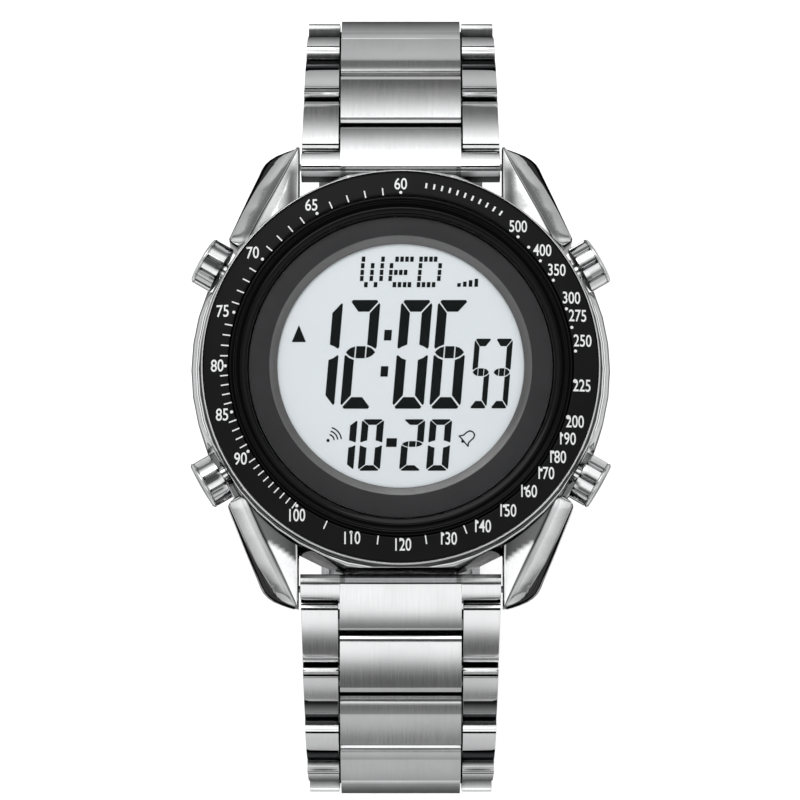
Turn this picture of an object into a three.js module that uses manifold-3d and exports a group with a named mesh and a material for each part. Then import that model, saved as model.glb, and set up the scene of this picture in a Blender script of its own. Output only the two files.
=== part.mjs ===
// Digital wristwatch on a steel link bracelet, closed into its wearing loop.
// Millimetres, +Z out of the dial, +Y towards 12 o'clock, +X towards 3 o'clock.
// Origin: centre of the outer face of the case back.
import * as THREE from 'three';
import { mergeVertices } from 'three/addons/utils/BufferGeometryUtils.js';
import Module from 'manifold-3d';

const wasm = await Module();
wasm.setup();

// ------------------------------------------------------------ driving dimensions
const CASE_R = 22.6;            // mid-case outer radius at the flank
const CASE_TOP = 10.5;          // top face of the mid-case, under the bezel
const CASE_BOTTOM = 0.3;        // lowest face of the mid-case
const CASE_END_Y = 21.7;        // mid-case end between the lugs
const MODULE_BORE_R = 15.6;     // bore that takes the movement
const BACK_SEAT_R = 19.0;       // recess for the case back
const BACK_R = 18.9;
const BACK_T = 1.0;
const BACK_SCREW_R = 17.7;      // pitch radius of the case back screws
const LUG_INNER_X = 11.15;      // half the gap between the lugs
const LUG_TIP_Y = 25.6;
const BEZEL_R = 21.75;          // steel bezel ring
const INSERT_OUT_R = 21.35;     // black scale ring
const INSERT_IN_R = 18.75;
const CRYSTAL_R = 16.6;
const WINDOW_R = 13.25;         // visible display radius
const DIAL_CHAMFER_R = 14.3;
const TOTAL_Z = 13.0;           // top of the bezel above the case back
const PUSHER_Z = 7.2;
const PUSHER_ANGLE = 30;        // degrees above and below the 3-9 line
const PUSHER_FACE_R = 21.9;     // flat on the case behind each cap
const PUSHER_CAP_R = 2.7;
const PUSHER_CAP_IN = 22.6;     // radial start of the cap at rest
const PUSHER_CAP_OUT = 25.15;
const STEM_R = 0.95;
const BAR_Y = 23.4;             // spring bar between the lugs
const BAR_Z = 3.9;
const PITCH = 7.3;              // bracelet hinge to hinge
const LINK_T = 3.0;             // bracelet thickness
const GAP = 0.3;                // running gap between links
const CENTRE_HALF = 6.65;       // half width of the centre links
const END_HALF = 10.95;         // half width of the end link
const TAPER = 0.024;            // side narrowing per millimetre of bracelet
const PIN1 = [26.1, 3.65];      // first bracelet hinge, y and z
const END_LINK_TILT = 24;       // degrees below horizontal
const ROW_ANGLES = [28.8, 44, 62, 82, 100, 117, 134, 150, 164];
const BORE_R = 0.85;            // hinge bore in a centre link
const HINGE_PIN_R = 0.55;
const COVER_HALF = 9.25;        // clasp cover half width
const COVER_WALL = 0.9;
const FOLD_A = [15.6, -44.3];   // cover to outer blade hinge
const FOLD_B = [-14.5, -42.9];  // outer blade to inner blade hinge
const SEG = 48;                 // facets round the case

// ------------------------------------------------------------ solid helpers
function toSolid(geometry) {
  const g = geometry.clone();
  g.deleteAttribute('normal');
  g.deleteAttribute('uv');
  const m = mergeVertices(g, 1e-4);
  const idx = m.index.array;
  const pos = m.attributes.position.array;
  const tri = [];
  for (let i = 0; i < idx.length; i += 3) {
    const [a, b, c] = [idx[i], idx[i + 1], idx[i + 2]];
    if (a !== b && b !== c && a !== c) tri.push(a, b, c);
  }
  let vol = 0;
  for (let i = 0; i < tri.length; i += 3) {
    const p = [0, 1, 2].map((k) => tri[i + k] * 3);
    vol += pos[p[0]] * (pos[p[1] + 1] * pos[p[2] + 2] - pos[p[1] + 2] * pos[p[2] + 1])
      - pos[p[0] + 1] * (pos[p[1]] * pos[p[2] + 2] - pos[p[1] + 2] * pos[p[2]])
      + pos[p[0] + 2] * (pos[p[1]] * pos[p[2] + 1] - pos[p[1] + 1] * pos[p[2]]);
  }
  if (vol < 0) for (let i = 0; i < tri.length; i += 3) [tri[i], tri[i + 1]] = [tri[i + 1], tri[i]];
  return new wasm.Manifold(new wasm.Mesh({
    numProp: 3,
    vertProperties: Float32Array.from(pos),
    triVerts: Uint32Array.from(tri),
  }));
}

function toGeometry(solid) {
  const m = solid.getMesh();
  const g = new THREE.BufferGeometry();
  g.setAttribute('position', new THREE.BufferAttribute(Float32Array.from(m.vertProperties), 3));
  g.setIndex(new THREE.BufferAttribute(Uint32Array.from(m.triVerts), 1));
  g.computeVertexNormals();
  return g;
}

const join = (...s) => s.reduce((a, b) => a.add(b));
const cut = (a, ...s) => s.reduce((x, y) => x.subtract(y), a);

// revolve a closed (r, z) profile about Z
function revolve(points, seg = SEG) {
  const pts = points.map(([r, z]) => new THREE.Vector2(r, z));
  if (points[0][0] > 1e-6 || points[points.length - 1][0] > 1e-6) pts.push(pts[0].clone());
  const g = new THREE.LatheGeometry(pts, seg);
  g.rotateX(Math.PI / 2);
  return toSolid(g);
}

// extrude a (y, z) outline along X
function alongX(points, x0, x1, holes = []) {
  const shape = new THREE.Shape(points.map(([y, z]) => new THREE.Vector2(y, z)));
  for (const h of holes) shape.holes.push(new THREE.Path(h.map(([y, z]) => new THREE.Vector2(y, z))));
  const g = new THREE.ExtrudeGeometry(shape, { depth: x1 - x0, bevelEnabled: false, steps: 1 });
  g.applyMatrix4(new THREE.Matrix4().set(0, 0, 1, x0, 1, 0, 0, 0, 0, 1, 0, 0, 0, 0, 0, 1));
  return toSolid(g);
}

// extrude an (x, y) outline along Z
function alongZ(points, z0, z1) {
  const shape = new THREE.Shape(points.map(([x, y]) => new THREE.Vector2(x, y)));
  const g = new THREE.ExtrudeGeometry(shape, { depth: z1 - z0, bevelEnabled: false, steps: 1 });
  g.translate(0, 0, z0);
  return toSolid(g);
}

function block(x0, x1, y0, y1, z0, z1) {
  const g = new THREE.BoxGeometry(x1 - x0, y1 - y0, z1 - z0);
  g.translate((x0 + x1) / 2, (y0 + y1) / 2, (z0 + z1) / 2);
  return toSolid(g);
}

// a large block whose near face passes through a point, facing away from the normal
function beyond(point, normal, size = 80) {
  const g = new THREE.BoxGeometry(size, size, size);
  g.translate(0, 0, size / 2);
  const q = new THREE.Quaternion().setFromUnitVectors(new THREE.Vector3(0, 0, 1), new THREE.Vector3(...normal).normalize());
  g.applyQuaternion(q);
  g.translate(...point);
  return toSolid(g);
}

function ring(n, r, cy, cz, phase = 0.5) {
  const out = [];
  for (let i = 0; i < n; i++) {
    const a = ((i + phase) / n) * Math.PI * 2;
    out.push([cy + r * Math.cos(a), cz + r * Math.sin(a)]);
  }
  return out;
}

// round bar along X
const bar = (r, cy, cz, x0, x1, n = 10) => alongX(ring(n, r, cy, cz), x0, x1);

// turn a solid about Z, by giving its geometry a new place
function turned(solid, deg) {
  const g = toGeometry(solid);
  g.rotateZ((deg * Math.PI) / 180);
  return toSolid(g);
}

// lay a solid made about Z so that its axis points outward along +X at height z
function radial(solid, deg, z) {
  const g = toGeometry(solid);
  g.rotateY(Math.PI / 2);
  g.translate(0, 0, z);
  g.rotateZ((deg * Math.PI) / 180);
  return toSolid(g);
}

const steel = (c = 0xb4b6b8, r = 0.32) => new THREE.MeshStandardMaterial({ color: c, roughness: r, metalness: 1 });
const plastic = (c, r = 0.5) => new THREE.MeshStandardMaterial({ color: c, roughness: r, metalness: 0 });

const watch = new THREE.Group();
function piece(name, solid, material, parent = watch) {
  const mesh = new THREE.Mesh(toGeometry(solid), material);
  mesh.name = name;
  parent.add(mesh);
  return mesh;
}

// ------------------------------------------------------------ case with four lugs
const pusherAngles = { 2: PUSHER_ANGLE, 4: -PUSHER_ANGLE, 8: 180 + PUSHER_ANGLE, 10: 180 - PUSHER_ANGLE };

let caseBody = revolve([
  [MODULE_BORE_R, 1.1], [15.85, 1.1], [15.85, 1.8], [16.65, 1.8], [16.65, 1.1],
  [BACK_SEAT_R, 1.1], [BACK_SEAT_R, CASE_BOTTOM], [20.6, CASE_BOTTOM], [21.9, 1.5],
  [CASE_R, 3.6], [CASE_R, 9.1], [22.3, 9.9], [21.9, CASE_TOP], [MODULE_BORE_R, CASE_TOP],
]);
caseBody = cut(caseBody, block(-30, 30, CASE_END_Y, 40, -1, 20), block(-30, 30, -40, -CASE_END_Y, -1, 20));

// one lug: a plan outline cut by an outer facet, an inner facet and sloped undersides
const RIDGE_TIP = [11.2, 25.6, 4.9];
const RIDGE_ROOT = [16.6, 15.1, 9.5];
function planeNormal(a, b, c) {
  const A = new THREE.Vector3(...a);
  const n = new THREE.Vector3(...b).sub(A).cross(new THREE.Vector3(...c).sub(A)).normalize();
  if (n.z < 0) n.negate();
  return [n.x, n.y, n.z];
}
const outer1 = planeNormal(RIDGE_TIP, RIDGE_ROOT, [18.9, 14.5, 7.6]);
const outer2 = planeNormal([12.4, 23.3, 5.9], [15.3, 23.3, 3.6], [14.7, 24.4, 3.0]);
const innerFacet = planeNormal(RIDGE_TIP, RIDGE_ROOT, [11.15, 20.0, 7.5]);
let lug = alongZ([
  [LUG_INNER_X, LUG_TIP_Y], [12.3, 25.45], [14.5, 24.6], [15.2, 23.7], [15.5, 22.9], [18.9, 14.6],
  [18.4, 13.4], [15.6, 12.4], [LUG_INNER_X, 16.9],
], 0.8, 10.3);
lug = cut(lug,
  beyond(RIDGE_TIP, outer1), beyond([15.3, 23.3, 3.6], outer2), beyond(RIDGE_TIP, innerFacet),
  beyond([15.3, 23.3, 1.7], [0.55, 0.35, -0.75]), beyond([11.2, 25.6, 2.2], [0, 0.55, -0.83]),
  bar(0.7, BAR_Y, BAR_Z, LUG_INNER_X - 1, 12.4, 8));
const lugGeometry = toGeometry(lug);
function lugAt(sx, sy) {
  const g = lugGeometry.clone();
  g.scale(sx, sy, 1);
  return toSolid(g);
}
caseBody = join(caseBody, lugAt(1, 1), lugAt(-1, 1), lugAt(1, -1), lugAt(-1, -1));

for (const a of Object.values(pusherAngles)) {
  caseBody = cut(caseBody,
    turned(block(PUSHER_FACE_R, 30, -2.95, 2.95, 4.1, 12), a),
    radial(revolve([[0, 14], [1.3, 14], [1.3, 23], [0, 23]], 10), a, PUSHER_Z),
    radial(revolve([[0, 19.4], [2.0, 19.4], [2.0, 23], [0, 23]], 12), a, PUSHER_Z));
}
for (const a of [45, 135, 225, 315]) {
  caseBody = cut(caseBody, turned(block(BACK_SCREW_R - 0.75, BACK_SCREW_R + 0.75, -0.75, 0.75, 0.5, 4.4), a));
}
piece('case_body', caseBody, steel(0xb9bbbd, 0.22));

// ------------------------------------------------------------ case back and its fasteners
let back = revolve([[0, 0], [BACK_R - 0.3, 0], [BACK_R, 0.3], [BACK_R, BACK_T], [0, BACK_T]]);
for (const a of [45, 135, 225, 315]) {
  back = cut(back, turned(toSolid(new THREE.CylinderGeometry(1.35, 1.35, 0.8, 10).rotateX(Math.PI / 2).translate(BACK_SCREW_R, 0, 0.2)), a),
    turned(toSolid(new THREE.CylinderGeometry(0.85, 0.85, 4, 8).rotateX(Math.PI / 2).translate(BACK_SCREW_R, 0, 0)), a));
}
piece('case_back', back, steel(0xa9abad, 0.4));
piece('case_back_gasket', revolve([[15.95, 1.15], [16.55, 1.15], [16.55, 1.7], [15.95, 1.7]], 48), plastic(0x151515, 0.8));
[45, 135, 225, 315].forEach((a, i) => {
  let screw = revolve([[0, 0.05], [1.15, 0.05], [1.15, 0.55], [0.55, 0.55], [0.55, 4.0], [0, 4.0]], 10);
  screw = cut(screw, block(-2, 2, -0.15, 0.15, -1, 0.3));
  const g = toGeometry(screw);
  g.translate(BACK_SCREW_R, 0, 0);
  g.rotateZ((a * Math.PI) / 180);
  piece(`case_back_screw_${i + 1}`, toSolid(g), steel(0x9a9c9e, 0.3));
});

// ------------------------------------------------------------ bezel, crystal and dial
piece('bezel_ring', revolve([
  [18.75, 10.6], [BEZEL_R, 10.6], [BEZEL_R, 11.7], [21.65, 12.2], [21.45, 12.38], [21.45, 11.72], [18.75, 12.3],
]), steel(0xc4c6c8, 0.12));
piece('bezel_insert', revolve([
  [INSERT_IN_R, 12.42], [INSERT_OUT_R, 11.86], [INSERT_OUT_R, 12.3], [21.2, 12.42], [18.95, TOTAL_Z], [INSERT_IN_R, 12.96],
]), plastic(0x191919, 0.42));
piece('crystal_ring', revolve([
  [17.3, 10.6], [18.65, 10.6], [18.65, 12.9], [18.15, 12.95], [18.05, 12.75], [17.4, 12.72], [16.75, 12.6], [16.75, 12.35], [17.3, 12.3],
]), plastic(0x0c0c0c, 0.12));
piece('crystal', revolve([
  [0, 11.9], [CRYSTAL_R, 11.9], [CRYSTAL_R, 12.6], [16.4, 12.75], [0, 12.75],
]), new THREE.MeshStandardMaterial({ color: 0xe8eef0, roughness: 0.03, metalness: 0, transparent: true, opacity: 0.3 }));
piece('crystal_gasket', revolve([[16.7, 10.6], [17.2, 10.6], [17.2, 12.2], [16.7, 12.2]], 48), plastic(0x202020, 0.7));
piece('dial_ring', revolve([
  [16.5, 10.6], [16.5, 11.8], [DIAL_CHAMFER_R, 11.8], [WINDOW_R, 11.45], [WINDOW_R, 11.3], [15.1, 11.3], [15.1, 10.6],
], 48), plastic(0x3a3a3a, 0.5));

// ------------------------------------------------------------ display module
piece('lcd_panel', revolve([[0, 10.1], [14.9, 10.1], [14.9, 11.2], [0, 11.2]], 48), plastic(0xd8dee2, 0.25));
piece('backlight_panel', block(-11, 11, -9.6, 9.6, 9.5, 10.0), plastic(0xe6e8ea, 0.5));
piece('zebra_strip_upper', block(-6.5, 6.5, 10.4, 12.0, 7.9, 10.0), plastic(0xc9889a, 0.7));
piece('zebra_strip_lower', block(-6.5, 6.5, -12.0, -10.4, 7.9, 10.0), plastic(0xc9889a, 0.7));
let frame = revolve([[13.9, 4.0], [15.3, 4.0], [15.3, 9.4], [0, 9.4], [0, 8.95], [13.9, 8.95]], 36);
frame = cut(frame, block(-6.8, 6.8, 10.1, 12.2, 8, 10), block(-6.8, 6.8, -12.2, -10.1, 8, 10));
for (const a of Object.values(pusherAngles)) frame = cut(frame, turned(block(13.0, 16, -2.6, 2.6, 5.3, 8.95), a));
piece('module_frame', frame, plastic(0xd9d4c8, 0.6));
let board = revolve([[0, 7.0], [13.6, 7.0], [13.6, 7.8], [0, 7.8]], 36);
piece('circuit_board', board, plastic(0x1f5f3a, 0.5));
piece('battery', revolve([[0, 3.4], [8.8, 3.4], [9.0, 3.6], [10.0, 3.8], [10.0, 6.5], [0, 6.5]], 32), steel(0xc8c9ca, 0.25));
piece('battery_clip', alongX([
  [-11.3, 6.9], [-11.3, 2.8], [11.3, 2.8], [11.3, 6.9], [10.9, 6.9], [10.9, 3.15], [-10.9, 3.15], [-10.9, 6.9],
], -2.6, 2.6), steel(0xb0a890, 0.3));
piece('buzzer_disc', revolve([[0, 1.1], [8.0, 1.1], [8.0, 1.5], [0, 1.5]], 24), steel(0xb59a5a, 0.4));

// ------------------------------------------------------------ pushers and their springs
class Helix extends THREE.Curve {
  constructor(r, z0, z1, turns) { super(); this.r = r; this.z0 = z0; this.z1 = z1; this.turns = turns; }
  getPoint(t, target = new THREE.Vector3()) {
    const a = t * this.turns * Math.PI * 2;
    return target.set(this.r * Math.cos(a), this.r * Math.sin(a), this.z0 + (this.z1 - this.z0) * t);
  }
}
const wire = new THREE.Shape([[0.2, 0], [0, 0.2], [-0.2, 0], [0, -0.2]].map(([a, b]) => new THREE.Vector2(a, b)));
for (const [hour, a] of Object.entries(pusherAngles)) {
  const body = revolve([
    [0, 15.05], [1.55, 15.05], [1.55, 15.35], [STEM_R, 15.35], [STEM_R, PUSHER_CAP_IN], [2.45, PUSHER_CAP_IN],
    [PUSHER_CAP_R, 22.75], [PUSHER_CAP_R, 24.65], [2.52, 24.95], [1.45, 25.1], [0, PUSHER_CAP_OUT],
  ], 16);
  piece(`pusher_${hour}`, radial(body, a, PUSHER_Z), steel(0xbfc1c3, 0.15));
  const coil = new THREE.ExtrudeGeometry(wire, { steps: 26, bevelEnabled: false, extrudePath: new Helix(1.5, 19.75, 22.2, 3.25) });
  coil.deleteAttribute('uv');
  piece(`pusher_spring_${hour}`, radial(toSolid(coil), a, PUSHER_Z), steel(0x9c9ea0, 0.3));
}

// ------------------------------------------------------------ bracelet
function springBar(half) {
  return join(bar(0.8, BAR_Y, BAR_Z, -half, half, 10), bar(0.4, BAR_Y, BAR_Z, -11.75, 11.75, 6));
}
const q = PITCH / 4;
const h = LINK_T / 2;
const e = GAP / 2;
const R = q - e;                       // end radius about a hinge
const halfWidth = (k, s) => END_HALF - 0.05 - TAPER * (s + PITCH * (k - 1) + q);

// one link row in its own frame: Y along the bracelet, Z outward, hinge at the origin
function linkRow(k) {
  const arc = (cy, sign) => [0, -22, -43, -63.6].map((d) => {
    const t = (d * Math.PI) / 180;
    return [cy + sign * R * Math.cos(t), R * Math.sin(t)];
  });
  const centre = alongX([
    [q + e, 1.25], [q + e, -1.25], [q + e + 0.25, -h],
    ...arc(PITCH, 1).reverse(), [5 * q - e, 1.25], [5 * q - e - 0.25, h], [q + e + 0.25, h],
  ], -CENTRE_HALF, CENTRE_HALF, [ring(8, BORE_R, PITCH, 0)]);
  const legOutline = [
    [3 * q - e - 0.3, h], [-R + 0.25, h], [-R, 1.25], ...arc(0, -1), [3 * q - e - 0.25, -h], [3 * q - e, -1.25], [3 * q - e, 1.2],
  ];
  const x0 = CENTRE_HALF + GAP;
  const leg = alongX(legOutline, x0, x0 + 2);
  const web = block(CENTRE_HALF - 0.5, x0 + 0.5, q + e + 0.35, 3 * q - e - 0.35, -1.3, 0.9);
  const mirror = (s) => { const g = toGeometry(s); g.scale(-1, 1, 1); return toSolid(g); };
  const g = toGeometry(join(centre, leg, mirror(leg), web, mirror(web), bar(HINGE_PIN_R, 0, 0, -x0 - 0.5, x0 + 0.5, 8)));
  // stretch each side leg out to the tapering edge of the bracelet
  const p = g.attributes.position;
  for (let i = 0; i < p.count; i++) {
    const x = p.getX(i);
    const a = Math.abs(x);
    if (a > x0 + 1) p.setX(i, Math.sign(x) * halfWidth(k, p.getY(i)));
  }
  return toSolid(g);
}

const rad = (d) => (d * Math.PI) / 180;
const dir = (deg) => [Math.cos(rad(deg)), -Math.sin(rad(deg))];
const out = (deg) => [Math.sin(rad(deg)), Math.cos(rad(deg))];
function endPoint(s, n) {
  const u = dir(END_LINK_TILT), w = out(END_LINK_TILT);
  return [PIN1[0] + s * u[0] + n * w[0], PIN1[1] + s * u[1] + n * w[1]];
}
function endLink() {
  const tongueArc = [-63.6, -43, -22, 0].map((d) => endPoint(R * Math.cos(rad(d)), R * Math.sin(rad(d))));
  const tongue = alongX([
    [22.0, 6.75], [22.0, 2.4], [22.3, 2.1], [24.7, 2.0], ...tongueArc, endPoint(R, 1.25), endPoint(R - 0.25, h), [22.3, 6.98],
  ], -CENTRE_HALF, CENTRE_HALF, [ring(8, BORE_R, ...PIN1), ring(10, 1.1, BAR_Y, BAR_Z)]);
  const face = -q - e;
  const wing = alongX([
    [22.0, 6.75], [22.0, 2.4], [22.3, 2.1], endPoint(face, -2.0), endPoint(face, 1.25), endPoint(face - 0.25, h), [22.3, 6.98],
  ], -END_HALF, END_HALF);
  return cut(join(tongue, cut(wing, bar(1.1, BAR_Y, BAR_Z, -12, 12, 10))), bar(BORE_R, ...PIN1, -7.5, 7.5, 8));
}

// hinge positions down the loop
const pins = [PIN1];
for (const a of ROW_ANGLES) {
  const [y, z] = pins[pins.length - 1];
  const [uy, uz] = dir(a);
  pins.push([y + PITCH * uy, z + PITCH * uz]);
}
const PIN10 = pins[9];

for (const [side, spin] of [['12', 0], ['6', Math.PI]]) {
  const half = new THREE.Group();
  half.rotation.z = spin;
  watch.add(half);
  piece(`spring_bar_${side}`, springBar(10.6), steel(0x98999b, 0.35), half);
  piece(`end_link_${side}`, endLink(), steel(0xb2b4b6, 0.3), half);
  ROW_ANGLES.forEach((a, i) => {
    const row = piece(`link_${side}_row_${i + 1}`, linkRow(i + 1), steel(0xb2b4b6, 0.28), half);
    row.position.set(0, pins[i][0], pins[i][1]);
    row.rotation.x = -rad(a);
  });
}

// ------------------------------------------------------------ fold-over clasp
const [py, pz] = PIN10;
const earX0 = CENTRE_HALF + GAP, earX1 = 8.1;
const mirrored = (s) => { const g = toGeometry(s); g.scale(-1, 1, 1); return toSolid(g); };
const both = (s) => join(s, mirrored(s));
function pairAlongX(points, x0, x1) {
  const s = alongX(points, x0, x1);
  return [s, mirrored(s)];
}
const z2t = -41.8, z2b = -42.6;          // inner blade faces
let blade2 = join(
  block(-6, 6, -13.2, py - R - 0.3, z2b, z2t),
  block(-earX1, earX1, 12.5, py - R - 0.35, z2b, z2t),
  ...pairAlongX([
    [12.8, z2t], [12.8, z2b], [17.0, z2b], [py - 1.1, pz - 0.9], [py, pz - 1.35], [py + 0.95, pz - 0.95],
    [py + 1.35, pz], [py + 0.95, pz + 0.95], [py, z2t],
  ], earX0, earX1),
  ...pairAlongX([...ring(8, 1.0, ...FOLD_B)], 3.3, 6.0),
  ...pairAlongX([[-12.9, z2t], [-14.5, z2t - 0.05], [-14.5, z2b - 0.2], [-12.9, z2b]], 3.3, 6.0),
  bar(HINGE_PIN_R, py, pz, -earX0 - 0.3, earX0 + 0.3, 8),
);
blade2 = cut(blade2, bar(0.6, ...FOLD_B, -7, 7, 8));
piece('clasp_blade_inner', blade2, steel(0xb8babc, 0.2));

let blade1 = join(
  block(-5, 5, -12.8, 13.9, -44.0, -43.2),
  alongX([...ring(10, 0.95, ...FOLD_B)], -3, 3),
  alongX([[-14.5, -43.8], [-14.3, -42.95], [-13.7, -43.05], [-12.5, -43.25], [-12.5, -43.95]], -3, 3),
  alongX([...ring(10, 0.95, ...FOLD_A)], -3, 3),
  alongX([[13.6, -44.0], [13.6, -43.2], [15.4, -43.4], [15.6, -44.6], [14.9, -44.8]], -3, 3),
);
blade1 = cut(blade1, bar(0.6, ...FOLD_B, -7, 7, 8), bar(0.6, ...FOLD_A, -7, 7, 8));
piece('clasp_blade_outer', blade1, steel(0xb8babc, 0.2));

const wallIn = COVER_HALF - COVER_WALL;
const zc0 = -46.2, zc1 = -45.4, zcTop = -42.2;
const plateEnd = -(py - R - 0.6);        // stops short of the 6 o'clock end tongue
let cover = join(
  alongX([[plateEnd, zc0 + 0.3], [plateEnd + 0.4, zc0], [py + 0.7, zc0], [py + 1.0, zc0 + 0.3], [py + 1.0, zc1], [plateEnd, zc1]], -COVER_HALF, COVER_HALF),
  ...pairAlongX([
    [plateEnd + 0.2, zc0 + 0.15], [py + 0.8, zc0 + 0.1], [py + 1.0, zc0 + 0.4], [py + 1.0, zcTop - 0.5], [py + 0.6, zcTop],
    [-py, zcTop], [-py, pz + 1.1], [-py - 0.85, pz + 0.75], [-py - 1.15, pz], [-py - 0.8, pz - 0.8], [-py + 0.2, pz - 1.3],
  ], wallIn, COVER_HALF),
  ...pairAlongX([
    [FOLD_A[0] - 1.0, zc1 - 0.2], [FOLD_A[0] + 1.0, zc1 - 0.2], [FOLD_A[0] + 0.95, FOLD_A[1] + 0.1], [FOLD_A[0] + 0.5, FOLD_A[1] + 0.85],
    [FOLD_A[0] - 0.5, FOLD_A[1] + 0.85], [FOLD_A[0] - 0.95, FOLD_A[1] + 0.1],
  ], 3.3, 6.0),
);
cover = cut(cover, bar(0.6, ...FOLD_A, -7, 7, 8), bar(0.75, -py, pz, -12, 12, 8));
piece('clasp_cover', cover, steel(0xb4b6b8, 0.3));
piece('clasp_pin_a', bar(0.4, ...FOLD_A, -5.9, 5.9, 8), steel(0x98999b, 0.3));
piece('clasp_pin_b', bar(0.4, ...FOLD_B, -5.9, 5.9, 8), steel(0x98999b, 0.3));
piece('clasp_spring_bar', join(bar(0.5, -py, pz, -7.4, 7.4, 8), bar(0.3, -py, pz, -8.05, 8.05, 6)), steel(0x98999b, 0.3));

export default watch;
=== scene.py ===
import bpy, bmesh, math
from mathutils import Matrix, Vector


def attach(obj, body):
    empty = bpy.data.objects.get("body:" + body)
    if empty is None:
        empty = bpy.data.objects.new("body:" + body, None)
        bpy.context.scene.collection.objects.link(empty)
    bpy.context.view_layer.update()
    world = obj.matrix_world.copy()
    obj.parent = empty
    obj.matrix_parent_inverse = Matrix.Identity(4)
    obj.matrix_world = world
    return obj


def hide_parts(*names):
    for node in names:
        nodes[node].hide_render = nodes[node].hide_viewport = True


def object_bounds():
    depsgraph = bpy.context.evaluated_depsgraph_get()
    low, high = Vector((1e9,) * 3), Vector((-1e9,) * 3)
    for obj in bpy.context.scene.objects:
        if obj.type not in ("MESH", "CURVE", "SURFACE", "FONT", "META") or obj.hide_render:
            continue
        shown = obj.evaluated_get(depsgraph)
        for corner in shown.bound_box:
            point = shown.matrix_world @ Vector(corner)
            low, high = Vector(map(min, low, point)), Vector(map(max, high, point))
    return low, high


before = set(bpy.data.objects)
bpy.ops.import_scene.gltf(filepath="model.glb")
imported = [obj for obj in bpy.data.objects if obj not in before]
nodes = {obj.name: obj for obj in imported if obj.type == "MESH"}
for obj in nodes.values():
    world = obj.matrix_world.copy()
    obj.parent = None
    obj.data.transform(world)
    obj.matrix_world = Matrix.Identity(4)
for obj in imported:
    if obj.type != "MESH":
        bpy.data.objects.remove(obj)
cad_box = [list(map(float, c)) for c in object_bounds()]
MM = 0.001
rad = math.radians
scene = bpy.context.scene

# ---------------------------------------------------------------- camera
TILT = rad(8.2)
b = Vector((0, -math.sin(TILT), math.cos(TILT)))
u = Vector((0, math.cos(TILT), math.sin(TILT)))
target = Vector((-0.08, 0, 13.0)) - u * 3.77
cam_data = bpy.data.cameras.new("camera")
cam_data.lens = 290.6
cam_data.sensor_width = 36
cam_data.clip_end = 20
cam = bpy.data.objects.new("camera", cam_data)
scene.collection.objects.link(cam)
loc = (target + b * 700) * MM
m = Matrix(((1, u.x, b.x, loc.x), (0, u.y, b.y, loc.y), (0, u.z, b.z, loc.z), (0, 0, 0, 1)))
cam.matrix_world = m
scene.camera = cam
scene.view_settings.view_transform = "Standard"
scene.view_settings.look = "None"


# ---------------------------------------------------------------- materials
def new_mat(name):
    mat = bpy.data.materials.new(name)
    mat.use_nodes = True
    nt = mat.node_tree
    return mat, nt, nt.nodes["Principled BSDF"]


def noise(nt, scale_xyz, detail=3.0, rough=0.55, scale=1.0):
    tc = nt.nodes.new("ShaderNodeTexCoord")
    mp = nt.nodes.new("ShaderNodeMapping")
    mp.inputs["Scale"].default_value = scale_xyz
    nz = nt.nodes.new("ShaderNodeTexNoise")
    nz.inputs["Scale"].default_value = scale
    nz.inputs["Detail"].default_value = detail
    nz.inputs["Roughness"].default_value = rough
    nt.links.new(tc.outputs["Object"], mp.inputs["Vector"])
    nt.links.new(mp.outputs["Vector"], nz.inputs["Vector"])
    return nz


def maprange(nt, src, a, c, lo, hi):
    r = nt.nodes.new("ShaderNodeMapRange")
    r.inputs["From Min"].default_value = a
    r.inputs["From Max"].default_value = c
    r.inputs["To Min"].default_value = lo
    r.inputs["To Max"].default_value = hi
    nt.links.new(src, r.inputs["Value"])
    return r.outputs["Result"]


def ramp(nt, src, stops):
    r = nt.nodes.new("ShaderNodeValToRGB")
    el = r.color_ramp.elements
    el[0].position, el[0].color = stops[0][0], (*stops[0][1], 1)
    el[1].position, el[1].color = stops[-1][0], (*stops[-1][1], 1)
    for p, c in stops[1:-1]:
        e = el.new(p)
        e.color = (*c, 1)
    nt.links.new(src, r.inputs["Fac"])
    return r.outputs["Color"]


def bump(nt, src, bs, strength, dist):
    n = nt.nodes.new("ShaderNodeBump")
    n.inputs["Strength"].default_value = strength
    n.inputs["Distance"].default_value = dist * MM
    nt.links.new(src, n.inputs["Height"])
    nt.links.new(n.outputs["Normal"], bs.inputs["Normal"])
    return n


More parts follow.
